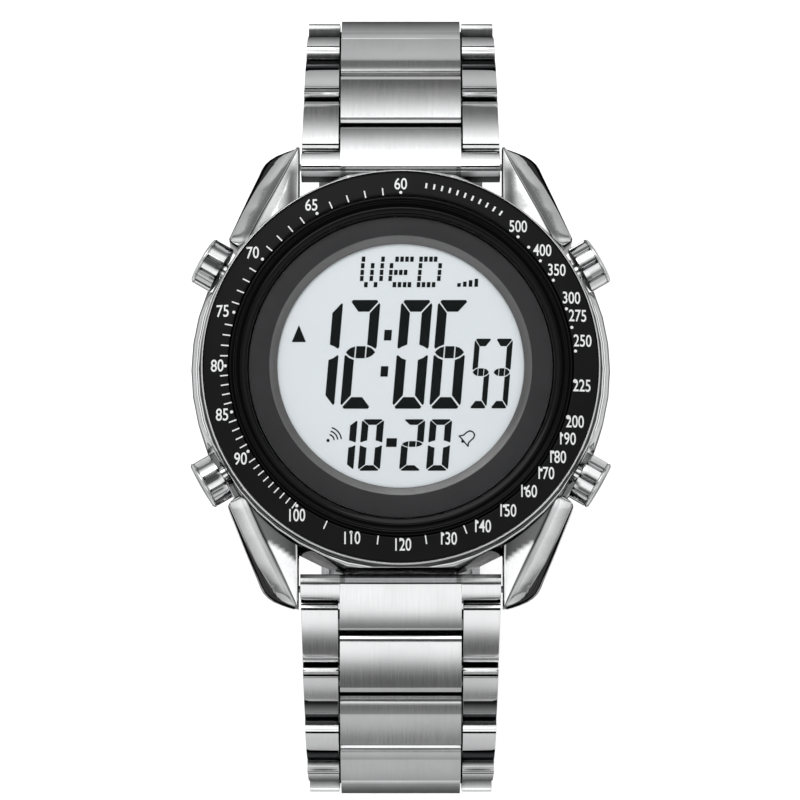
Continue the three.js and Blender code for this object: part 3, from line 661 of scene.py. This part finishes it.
def lug(sx, sy):
    rows, painted_tones = [], []
    ys = [13.0, 13.25, 13.5, 13.85, 14.2, 14.5, 14.8] + [15.2 + i * 0.4 for i in range(18)] + [22.4, 22.8, 23.2, 23.5, 23.8, 24.05, 24.3, 24.5, 24.7, 24.9, 25.1, 25.25, 25.35, 25.45, 25.5]
    NI, NO = 14, 10
    for y in ys:
        xi = LUG_X if y > 16.9 else LUG_X + (16.9 - y) * 1.1
        xr, zr = max(lerp_table(RIDGE_X, y), xi + 0.12), lerp_table(RIDGE_Z, y)
        xo, ze, ro, zl = lerp_table(OUTER_X, y), lerp_table(EDGE_Z, y), lerp_table(ROLL, y), lerp_table(LOW_Z, y)
        xo = max(xo, xr + 0.2)
        zi = lerp_table(INNER_Z, y)
        w = xr - xi
        tip = min(1.0, max(0.0, (y - 22.6) / 1.6))
        root = min(1.0, max(0.0, (18.4 - y) / 2.5))
        # Each section point carries a shade value of painted reflection; the inner wall is darker at its foot.
        sec = [(xi, zl, 0.4), (xi, zi - 0.25, 0.55), (xi + 0.04, zi - 0.1, 1.0), (xi + 0.14, zi - 0.02, 1.0)]
        for i in range(1, NI + 1):
            t = i / NI
            x = xi + 0.14 + (w - 0.24) * t
            # Painted reflection on the inner facet: a dark valley near the inner edge, lighter towards the ridge,
            # white at the tip and dimmer at the root; on the 6 side dark towards the bezel and bright beyond.
            painted_valley = math.exp(-((t * w - 0.85) / 0.75) ** 2)
            tone = (0.62 - 0.5 * painted_valley + 0.18 * t) * (1 - tip) + 1.0 * tip
            tone = tone * (1 - root) + (0.38 + 0.2 * t) * root
            if sy < 0:
                edge = 20.9 - 2.4 * t
                k = min(1.0, max(0.0, (y - edge + 0.25) / 0.5))
                tone = 0.07 + 0.1 * t + (0.9 + 0.1 * tip) * k
            if i == NI:
                tone = 0.04
            sec.append((x, zi + (zr - 0.1 - zi) * t - 0.055 * w * 4 * t * (1 - t), tone))
        # Painted reflection along the ridge: a dark line on its inner side beside a painted highlight on its outer
        # side.
        sec += [(xr - 0.05, zr - 0.03, 0.04), (xr + 0.02, zr, 1.0), (xr + 0.12, zr - 0.03, 1.0)]
        wo = xo - xr
        xb = xo - min(ro, wo * 0.75)
        for i in range(1, NO + 1):
            t = i / NO
            x = xr + 0.14 + (xb - xr - 0.14) * t
            # Painted reflection on the outer facet: light near the ridge, darker towards the edge.
            tone = 1.0 if i > 2 else 0.75
            tone *= 1.15 - 0.45 * t
            sec.append((x, zr - 0.06 + (ze - zr + 0.06) * t ** 1.15, tone))
        rz = 1.5
        # Painted shade on the rolled edge: dark on its upper half, lighter below.
        for i in range(1, 7):
            t = rad(90 * i / 6)
            sec.append((xb + (xo - xb) * math.sin(t), ze - 0.06 - rz * (1 - math.cos(t)), 0.1 if i < 4 else 0.8))
        sec += [(xo, zl + 0.7, 0.85), (xo - 0.35, zl, 0.6)]
        rows.append([(sx * x, sy * y, z) for x, z, c in sec])
        painted_tones += [c for x, z, c in sec]
    n = len(rows[0])
    V = [p for r in rows for p in r]
    F = [list(range(n)), list(range(len(V) - n, len(V)))[::-1]]
    fm = [0, 0]
    for i in range(len(rows) - 1):
        for j in range(n):
            k = (j + 1) % n
            F.append([i * n + j, i * n + k, (i + 1) * n + k, (i + 1) * n + j])
            # Faces n-9 to n-6, the upper part of the rolled edge, get the near-black painted-reflection steel.
            fm.append(1 if n - 9 <= j <= n - 6 else 0)
    tag = ("12" if sy > 0 else "6") + ("_right" if sx > 0 else "_left")
    add(f"v_lug_{tag}", V, F, [M["lug"], M["roll"]], "case", "case_steel", (), fm, sharp=38, shade=painted_tones)


LUG_X = 11.15
for sx in (1, -1):
    for sy in (1, -1):
        lug(sx, sy)

# ---------------------------------------------------------------- bezel, crystal, dial
revolve("v_bezel_ring", fillet([(18.75, 10.6), (21.75, 10.6, .15), (21.75, 11.75, .25), (21.64, 12.28, .12), (21.52, 12.38, .05), (21.47, 11.75), (18.75, 12.3)], .04),
        [M["bezel_pol"]], "case", "bezel_steel", ("bezel_ring",), 256)
revolve("v_bezel_insert", fillet([(18.75, 12.42), (21.4, 11.86), (21.43, 12.28, .08), (21.26, 12.42, .14), (18.98, 13.0, .1), (18.78, 12.97, .06)], .04),
        [M["insert"]], "case", "scale_black", ("bezel_insert",), 256)
revolve("v_crystal_ring", fillet([(17.3, 10.6), (18.65, 10.6), (18.65, 12.82, .12), (18.55, 12.93, .08), (18.1, 12.95, .1), (17.98, 12.68, .08), (17.42, 12.66, .1), (17.3, 12.72, .06), (16.78, 12.58, .08), (16.75, 12.35), (17.3, 12.3)], .03),
        [M["gloss"]], "case", "gloss_black", ("crystal_ring",), 256)
revolve("v_crystal", fillet([(0, 11.9), (16.6, 11.9), (16.6, 12.6, .06), (16.42, 12.75, .08), (0, 12.75)], .03, closed=False),
        [M["crystal"]], "case", "crystal", ("crystal",), 192)


def dial_mat(p, q):
    return 1 if max(p[0], q[0]) <= 14.45 and min(p[1], q[1]) >= 11.4 else 0


revolve("v_dial_ring", fillet([(16.5, 10.6), (16.5, 11.8), (14.22, 11.8, .06), (13.46, 11.52, .05), (13.4, 11.42, .03), (13.4, 11.3), (15.1, 11.3), (15.1, 10.6)], .03),
        [M["dial"], M["chamfer"]], "case", "dial_grey", ("dial_ring",), 256, place=lambda v: (v[0], v[1] + (0.22 if math.hypot(v[0], v[1]) < 14.6 else 0.0), v[2]), mat_of=dial_mat)
revolve("v_lcd_panel", fillet([(0, 10.1), (14.9, 10.1), (14.9, 11.2, .05), (0, 11.2)], .03, closed=False),
        [M["lcd"]], "case", "display", ("lcd_panel",), 128)

# ---------------------------------------------------------------- scale numerals and ticks
def cone_z(x, y, lift=0.015):
    r = math.hypot(x, y)
    return 12.42 + (21.2 - r) * (13.0 - 12.42) / (21.2 - 18.98) + lift


def glyph(text, height, cx, cy, narrow=0.66, bold=0.0, slant=0.0, zfun=cone_z, thick=0.02):
    cu = bpy.data.curves.new("glyph", "FONT")
    cu.body = text
    cu.size = 1.0
    cu.align_x = "CENTER"
    cu.offset = bold
    cu.resolution_u = 6
    ob = bpy.data.objects.new("glyph", cu)
    scene.collection.objects.link(ob)
    dg = bpy.context.evaluated_depsgraph_get()
    dg.update()
    t = bpy.data.meshes.new_from_object(ob.evaluated_get(dg))
    co = [(v.co.x, v.co.y) for v in t.vertices]
    tri = [list(p.vertices) for p in t.polygons]
    bpy.data.objects.remove(ob)
    bpy.data.curves.remove(cu)
    bpy.data.meshes.remove(t)
    ys = [c[1] for c in co]
    k = height / (max(ys) - min(ys))
    y0 = (max(ys) + min(ys)) / 2
    xs = [c[0] for c in co]
    x0 = (max(xs) + min(xs)) / 2
    flat = [(cx + (x - x0) * k * narrow + slant * (y - y0) * k, cy + (y - y0) * k) for x, y in co]
    return slab(flat, tri, zfun, thick)


def slab(flat, tri, zfun, thick=0.02):
    """Thin closed plate from flat triangles that lies on a surface."""
    n = len(flat)
    V = [(x, y, zfun(x, y)) for x, y in flat] + [(x, y, zfun(x, y) - thick - 0.02) for x, y in flat]
    F = [list(f) for f in tri] + [[i + n for i in f[::-1]] for f in tri]
    edges = {}
    for f in tri:
        for i in range(len(f)):
            a, c = f[i], f[(i + 1) % len(f)]
            edges[(a, c)] = edges.get((a, c), 0) + 1
    for (a, c) in edges:
        if (c, a) not in edges:
            F.append([a, a + n, c + n, c])
    return V, F


def poly(pts, zfun, thick=0.02):
    return slab(pts, [list(range(len(pts)))], zfun, thick)


def polar(r, deg):
    a = rad(90 - deg)
    return (r * math.cos(a), r * math.sin(a))


def tick(deg, r0, r1, w, zfun=cone_z):
    a = rad(90 - deg)
    d, t = (math.cos(a), math.sin(a)), (-math.sin(a), math.cos(a))
    return poly([(d[0] * r0 - t[0] * w / 2, d[1] * r0 - t[1] * w / 2), (d[0] * r1 - t[0] * w / 2, d[1] * r1 - t[1] * w / 2),
                 (d[0] * r1 + t[0] * w / 2, d[1] * r1 + t[1] * w / 2), (d[0] * r0 + t[0] * w / 2, d[1] * r0 + t[1] * w / 2)], zfun)


def dot(deg, r, rr, zfun=cone_z):
    cx, cy = polar(r, deg)
    return poly([(cx + rr * math.cos(2 * math.pi * i / 14), cy + rr * math.sin(2 * math.pi * i / 14)) for i in range(14)], zfun)


marks = []
SCALE = [(60, 0, 19.72), (65, 330.8, 19.95), (70, 307.2, 20.2), (75, 286.8, 20.2), (80, 269.7, 19.9), (85, 254.4, 20.1), (90, 239.6, 20.1), (100, 214.5, 19.75),
         (110, 195.6, 19.45), (120, 179.2, 19.45), (130, 164.5, 19.5), (140, 153.0, 19.6), (150, 143.6, 19.6), (160, 134.6, 19.5), (170, 126.7, 19.65),
         (180, 120.4, 19.75), (190, 113.9, 19.8), (200, 108.1, 19.85), (225, 96.6, 19.75), (250, 82.5, 19.9), (275, 74.5, 19.92), (300, 68.6, 19.92),
         (350, 58.7, 19.85), (400, 51.0, 19.8), (500, 40.3, 19.75)]
for N, d, r in SCALE:
    cx, cy = polar(r, d)
    cy = cy / 0.9898 + 0.1
    marks.append(glyph(str(N), 1.34, cx, cy, 0.78 if N < 100 else 0.72, 0.01))
for d in (0, 331.4, 307.8, 287.8, 269.8, 254.4, 240.3, 216.2, 196.4, 180, 166.2, 154.3, 144, 135, 127, 120, 113.7, 107.6, 95.4, 85.3, 77.4, 71, 60.6, 52.9, 47, 42.1):
    marks.append(dot(d, 19.02, 0.17))
at = {N: d for N, d, r in SCALE}
at[60] = 360
for lo in range(60, 90, 5):
    for i in range(1, 5):
        marks.append(tick(at[lo] + (at[lo + 5] - at[lo]) * i / 5, 18.78, 19.62, 0.14))
for i in range(1, 10):
    marks.append(tick(at[90] + (at[100] - at[90]) * i / 10, 18.78, 19.55, 0.13))
for lo in (100, 110, 120, 130):
    marks.append(tick((at[lo] + at[lo + 10]) / 2, 18.78, 19.7, 0.14))
for i in range(11):
    marks.append(tick(8 + i * 2.5, 19.7, 20.3, 0.2))
V, F = merge(marks)
add("v_scale_marks", V, F, [M["white"]], "case", "scale_black", sharp=30)

# ---------------------------------------------------------------- display segments
K = 0.1084
ZL = 11.2
DY = 0.27


def lcd_xy(px, py):
    return ((276 + px / 6.222 - 401.0) * K, ((365.2 - 240) - py / 6.222) * K / 0.99 + 0.3)


lcd_z = lambda x, y: ZL + 0.03
SEGS = {
    "a": [[(14, 385), (62, 446), (129, 446), (181, 385), (173, 373), (23, 373)]],
    "b": [[(134, 455), (188, 392), (195, 402), (195, 668), (188, 678), (165, 664), (135, 652)]],
    "f": [[(0, 402), (8, 392), (60, 455), (60, 652), (30, 664), (7, 678), (0, 668)]],
    "e": [[(0, 722), (8, 718), (30, 736), (60, 748), (60, 968), (8, 1030), (0, 1020)]],
    "c": [[(187, 718), (195, 722), (195, 1020), (187, 1030), (135, 968), (135, 748), (165, 736)]],
    "d": [[(14, 1040), (64, 980), (131, 980), (181, 1040), (173, 1052), (22, 1052)]],
    "g": [[(6, 700), (20, 684), (38, 671), (61, 664), (61, 736), (38, 728), (20, 716)], [(69, 662), (126, 662), (126, 737), (69, 737)],
          [(134, 664), (157, 671), (175, 684), (188, 700), (175, 716), (157, 728), (134, 736)]],
}
DIGITS = {"0": "abcdef", "1": "bc", "2": "abged", "3": "abgcd", "5": "afgcd", "6": "afgecd"}
ink = []


def digit(ch, left, top, bottom, sx, base=None):
    sy = (bottom - top) / (1052 - 373)
    for seg in DIGITS[ch]:
        for pts in SEGS[seg]:
            out = []
            for uu, vv in pts:
                y = top + (vv - 373) * sy
                x = left + uu * sx + 0.0855 * (bottom - y)
                out.append(lcd_xy(x, y))
            ink.append(poly(out, lcd_z, 0.005))


for ch, left in (("1", 166), ("2", 399.3), ("0", 724), ("6", 954.3)):
    digit(ch, left, 373, 1052, 1.0)
for ch, left in (("5", 1204), ("3", 1334)):
    digit(ch, left, 615, 1050, 0.552)
for ch, left in (("1", 344.5), ("0", 510), ("2", 767), ("0", 934)):
    digit(ch, left, 1118, 1438, 0.705)


def quad(x0, y0, x1, y1, lean=0.0):
    ink.append(poly([lcd_xy(x0 + lean, y0), lcd_xy(x1 + lean, y0), lcd_xy(x1, y1), lcd_xy(x0, y1)], lcd_z, 0.005))


quad(672, 560, 718, 626, 5)
quad(650, 787, 696, 852, 5)
quad(686, 1236, 751, 1290, 4)
dots = [(545, 117), (540, 158), (537, 200), (534, 238), (602, 158), (598, 200), (594, 238), (667, 117), (662, 158), (658, 200), (655, 238), (560, 277), (620, 277),
        (755, 117), (786, 117), (817, 117), (848, 117), (720, 158), (716, 200), (712, 238), (747, 200), (778, 200), (808, 200), (738, 277), (770, 277), (802, 277), (832, 277),
        (905, 117), (935, 117), (967, 117), (996, 117), (901, 158), (897, 200), (893, 238), (889, 277), (920, 277), (952, 277), (983, 277), (1024, 158), (1020, 200), (1016, 238)]
for x, y in dots:
    quad(x - 12, y - 16, x + 10, y + 16, 2)


def stroke(pts, w):
    for (x0, y0), (x1, y1) in zip(pts[:-1], pts[1:]):
        L = math.hypot(x1 - x0, y1 - y0) or 1
        ux, uy = (x1 - x0) / L, (y1 - y0) / L
        x0, y0, x1, y1 = x0 - ux * w * .3, y0 - uy * w * .3, x1 + ux * w * .3, y1 + uy * w * .3
        nx, ny = -uy * w / 2, ux * w / 2
        ink.append(poly([lcd_xy(x0 + nx, y0 + ny), lcd_xy(x1 + nx, y1 + ny), lcd_xy(x1 - nx, y1 - ny), lcd_xy(x0 - nx, y0 - ny)], lcd_z, 0.005))


ink.append(poly([lcd_xy(325 + 10 * math.cos(i * math.pi / 6), 1250 + 10 * math.sin(i * math.pi / 6)) for i in range(12)], lcd_z, 0.005))
for rr in (38, 60, 83):
    stroke([(325 + rr * math.cos(rad(t)), 1250 - rr * math.sin(rad(t))) for t in range(8, 76, 8)], 8)
stroke([(1142, 1222), (1170, 1216), (1188, 1200), (1206, 1190), (1224, 1194), (1238, 1212), (1232, 1234), (1214, 1250), (1200, 1264), (1197, 1286), (1142, 1222)], 8)
ink.append(poly([lcd_xy(1163 + 9 * math.cos(i * math.pi / 6), 1256 + 9 * math.sin(i * math.pi / 6)) for i in range(12)], lcd_z, 0.005))
# plain flags in place of the two small words
ink.append(poly([lcd_xy(98, 636), lcd_xy(142, 530), lcd_xy(186, 636)], lcd_z, 0.005))
for i in range(4):
    quad(1130 + i * 36, 240 + (3 - i) * 9, 1152 + i * 36, 290, 2)
V, F = merge(ink)
add("v_lcd_segments", V, F, [M["ink"]], "case", "display", sharp=30)

# ---------------------------------------------------------------- pushers
def pusher(hour, deg):
    c, s = math.cos(rad(deg)), math.sin(rad(deg))

    def place(v):
        x, y, z = v            # made about Z, then laid along +X and turned
        px, py, pz = z, y, -x
        return (px * c - py * s, px * s + py * c, pz + 7.2)

    def flute(r, z, a):
        if 22.66 < z < 24.57 and r > 2.3:
            t = (a / (2 * math.pi) * 10 + 0.28) % 1.0
            d = abs(t - 0.5)
            if d < 0.1:
                return r - 0.34 * (1 - (d / 0.1) ** 2) ** 0.5
        return r
    prof = [(0, 15.05), (1.55, 15.05), (1.55, 15.35), (0.95, 15.35), (0.95, 22.6), (2.4, 22.6), (2.55, 22.62), (2.64, 22.66), (2.64, 22.661), (2.67, 22.8), (2.67, 23.3), (2.67, 24.0), (2.67, 24.56),
            (2.64, 24.58), (2.6, 24.61), (2.6, 24.65), (2.66, 24.69), (2.69, 24.74), (2.68, 24.84), (2.6, 24.94), (2.48, 25.02), (2.3, 25.06), (2.15, 25.05), (2.0, 25.07), (1.4, 25.11), (0.7, 25.14), (0, 25.15)]
    o = revolve(f"v_pusher_{hour}", prof, [M["pusher"]], f"pusher_{hour}", "case_steel", (f"pusher_{hour}",), 240, place, flute, sharp=42)
    return o


for hour, deg in ((2, 30), (4, -30), (8, 210), (10, 150)):
    pusher(hour, deg)

# ---------------------------------------------------------------- clasp
py, pz = pins[9]
A, B = (15.6, -44.3), (-14.5, -42.9)
EX0, EX1 = CENTRE + GAP, 8.1


def disc(cy, cz, r, n=28):
    return [(cy + r * math.cos(2 * math.pi * i / n), cz + r * math.sin(2 * math.pi * i / n)) for i in range(n)]


def two(outline, x0, x1):
    return [prism(outline, x0, x1), prism(outline, -x1, -x0)]


z2t, z2b = -41.8, -42.6
parts = [prism([(-13.2, z2b), (py - R - .3, z2b), (py - R - .3, z2t), (-13.2, z2t)], -6, 6),
         prism([(12.5, z2b), (py - R - .35, z2b), (py - R - .35, z2t), (12.5, z2t)], -EX1, EX1)]
parts += two([(12.8, z2t), (12.8, z2b), (17.0, z2b), (py - 1.1, pz - .9), (py, pz - 1.35), (py + .95, pz - .95), (py + 1.35, pz), (py + .95, pz + .95), (py, z2t)], EX0, EX1)
parts += two(disc(*B, 1.0), 3.3, 6.0)
parts += two([(-12.9, z2t), (-14.5, z2t - .05), (-14.5, z2b - .2), (-12.9, z2b)], 3.3, 6.0)
parts.append(prism(disc(py, pz, .55, 20), -EX0 - .3, EX0 + .3))
o = add("v_clasp_blade_inner", *merge(parts), [M["clasp"], M["link_edge"]], "clasp_inner", "clasp_steel", ("clasp_blade_inner",))
soften(o, 0.08, 2, 30, 1)
parts = [prism([(-12.8, -44.0), (13.9, -44.0), (13.9, -43.2), (-12.8, -43.2)], -5, 5), prism(disc(*B, .95), -3, 3), prism(disc(*A, .95), -3, 3),
         prism([(-14.5, -43.8), (-14.3, -42.95), (-13.7, -43.05), (-12.5, -43.25), (-12.5, -43.95)], -3, 3),
         prism([(13.6, -44.0), (13.6, -43.2), (15.4, -43.4), (15.6, -44.6), (14.9, -44.8)], -3, 3)]
o = add("v_clasp_blade_outer", *merge(parts), [M["clasp"], M["link_edge"]], "clasp_outer", "clasp_steel", ("clasp_blade_outer",))
soften(o, 0.08, 2, 30, 1)
wi, wo = 8.35, 9.25
zc0, zc1, zt = -46.2, -45.4, -42.2
pe = -(py - R - .6)
parts = [prism([(pe, zc0 + .3), (pe + .4, zc0), (py + .7, zc0), (py + 1.0, zc0 + .3), (py + 1.0, zc1), (pe, zc1)], -wo, wo)]
parts += two([(pe + .2, zc0 + .15), (py + .8, zc0 + .1), (py + 1.0, zc0 + .4), (py + 1.0, zt - .5), (py + .6, zt), (-py, zt), (-py, pz + 1.1), (-py - .85, pz + .75),
              (-py - 1.15, pz), (-py - .8, pz - .8), (-py + .2, pz - 1.3)], wi, wo)
parts += two([(A[0] - 1, zc1 - .2), (A[0] + 1, zc1 - .2), (A[0] + .95, A[1] + .1), (A[0] + .5, A[1] + .85), (A[0] - .5, A[1] + .85), (A[0] - .95, A[1] + .1)], 3.3, 6.0)
o = add("v_clasp_cover", *merge(parts), [M["clasp"], M["link_edge"]], "clasp_cover", "clasp_steel", ("clasp_cover",))
soften(o, 0.14, 3, 30, 1)

# ---------------------------------------------------------------- carried-over CAD pieces
carry = {
    "case_back": "back", "case_back_gasket": "rubber", "crystal_gasket": "rubber", "backlight_panel": "milky", "zebra_strip_upper": "zebra",
    "zebra_strip_lower": "zebra", "module_frame": "module", "circuit_board": "board", "battery": "battery", "battery_clip": "fastener", "buzzer_disc": "brass",
    "spring_bar_12": "fastener", "spring_bar_6": "fastener", "clasp_pin_a": "fastener", "clasp_pin_b": "fastener", "clasp_spring_bar": "fastener",
}
for i in range(1, 5):
    carry[f"case_back_screw_{i}"] = "fastener"
for hh in (2, 4, 8, 10):
    carry[f"pusher_spring_{hh}"] = "fastener"
for n, k in carry.items():
    o = nodes[n]
    if o.material_slots:
        for sl in o.material_slots:
            sl.material = M[k]
    else:
        o.data.materials.append(M[k])

# ---------------------------------------------------------------- floor, world, lights
lowest = cad_box[0][2]
# Painted light: the floor's colour is a bright pool round the object that falls to a darker grey further out, and the
# same colour is emitted so the floor glows.
fm, nt, bs = new_mat("floor_paper_painted_light")
bs.inputs["Roughness"].default_value = 0.9
bs.inputs["Specular IOR Level"].default_value = 0.0
tcf = nt.nodes.new("ShaderNodeTexCoord")
flen = nt.nodes.new("ShaderNodeVectorMath")
flen.operation = "LENGTH"
nt.links.new(tcf.outputs["Object"], flen.inputs[0])
shade = ramp(nt, maprange(nt, flen.outputs["Value"], 0.0, 0.4, 0.0, 1.0), [(0.0, (0.95,) * 3), (0.2, (0.95,) * 3), (0.34, (0.56,) * 3), (0.6, (0.5,) * 3), (1.0, (0.5,) * 3)])
nt.links.new(shade, bs.inputs["Base Color"])
nt.links.new(shade, bs.inputs["Emission Color"])
bs.inputs["Emission Strength"].default_value = 0.5
fme = bpy.data.meshes.new("floor")
S = 4.0
fme.from_pydata([(-S, -S, lowest), (S, -S, lowest), (S, S, lowest), (-S, S, lowest)], [], [(0, 1, 2, 3)])
fme.materials.append(fm)
floor = bpy.data.objects.new("floor", fme)
scene.collection.objects.link(floor)

world = bpy.data.worlds.new("studio")
scene.world = world
world.use_nodes = True
wn = world.node_tree
bg = wn.nodes["Background"]
tc = wn.nodes.new("ShaderNodeTexCoord")
sep = wn.nodes.new("ShaderNodeSeparateXYZ")
wn.links.new(tc.outputs["Generated"], sep.inputs[0])


def wmath(op, a, c=0.0):
    n = wn.nodes.new("ShaderNodeMath")
    n.operation = op
    for i, v in enumerate((a, c)):
        if isinstance(v, (int, float)):
            n.inputs[i].default_value = v
        else:
            wn.links.new(v, n.inputs[i])
    return n.outputs[0]


elev = wmath("DIVIDE", wmath("ARCSINE", sep.outputs["Z"]), math.pi / 2)      # -1 .. 1
fac = wmath("ADD", wmath("MULTIPLY", elev, 0.5), 0.5)


def sky(stops):
    """Brightness against elevation in degrees."""
    r = wn.nodes.new("ShaderNodeValToRGB")
    el = r.color_ramp.elements
    pts = [((e + 90) / 180, v) for e, v in stops]
    el[0].position, el[0].color = pts[0][0], (pts[0][1],) * 3 + (1,)
    el[1].position, el[1].color = pts[-1][0], (pts[-1][1],) * 3 + (1,)
    for p, v in pts[1:-1]:
        q = el.new(p)
        q.color = (v, v, v, 1)
    wn.links.new(fac, r.inputs["Fac"])
    return r.outputs["Color"]


up = sky([(-90, .3), (-2, .3), (4, .24), (8, .16), (13, .18), (19, .36), (24, .62), (29, 1.0), (33, 1.25), (62, 1.3), (72, .8), (78, .1), (90, .06)])
down = sky([(-90, .3), (-2, .28), (3, .24), (8, .66), (15, .72), (20, .4), (25, .14), (31, .14), (35, .25), (39, .55), (43, 1.0), (47, 1.25), (62, 1.3), (72, .8), (78, .1), (90, .06)])
sides = sky([(-90, .3), (-2, .28), (3, .24), (7, .6), (14, 1.05), (31, 1.3), (36, .15), (46, .06), (54, 1.1), (66, 1.1), (72, .7), (78, .12), (90, .1)])


def wmix(f, a, c):
    n = wn.nodes.new("ShaderNodeMix")
    n.data_type = "RGBA"
    wn.links.new(f, n.inputs[0])
    wn.links.new(a, n.inputs[6])
    wn.links.new(c, n.inputs[7])
    return n.outputs[2]


def wrange(v, a, c):
    r = wn.nodes.new("ShaderNodeMapRange")
    r.inputs["From Min"].default_value = a
    r.inputs["From Max"].default_value = c
    wn.links.new(v, r.inputs["Value"])
    return r.outputs["Result"]


front = wmix(wrange(sep.outputs["Y"], -0.12, 0.12), down, up)
flat = wmath("SQRT", wmath("ADD", wmath("MULTIPLY", sep.outputs["X"], sep.outputs["X"]), wmath("MULTIPLY", sep.outputs["Y"], sep.outputs["Y"])))
side_f = wrange(wmath("DIVIDE", wmath("ABSOLUTE", sep.outputs["X"]), wmath("MAXIMUM", flat, 0.001)), 0.55, 0.8)
wn.links.new(wmix(side_f, front, sides), bg.inputs["Color"])
bg.inputs["Strength"].default_value = 1.0


def area(name, pos, aim, sx, sy, power):
    ld = bpy.data.lights.new(name, "AREA")
    ld.shape = "RECTANGLE"
    ld.size, ld.size_y = sx, sy
    ld.energy = power
    o = bpy.data.objects.new(name, ld)
    scene.collection.objects.link(o)
    o.location = pos
    o.rotation_euler = (Vector(aim) - Vector(pos)).to_track_quat("-Z", "Y").to_euler()
    return o


area("key", (-0.25, 0.75, 1.0), (0, 0, 0), 0.9, 0.6, 3.4)
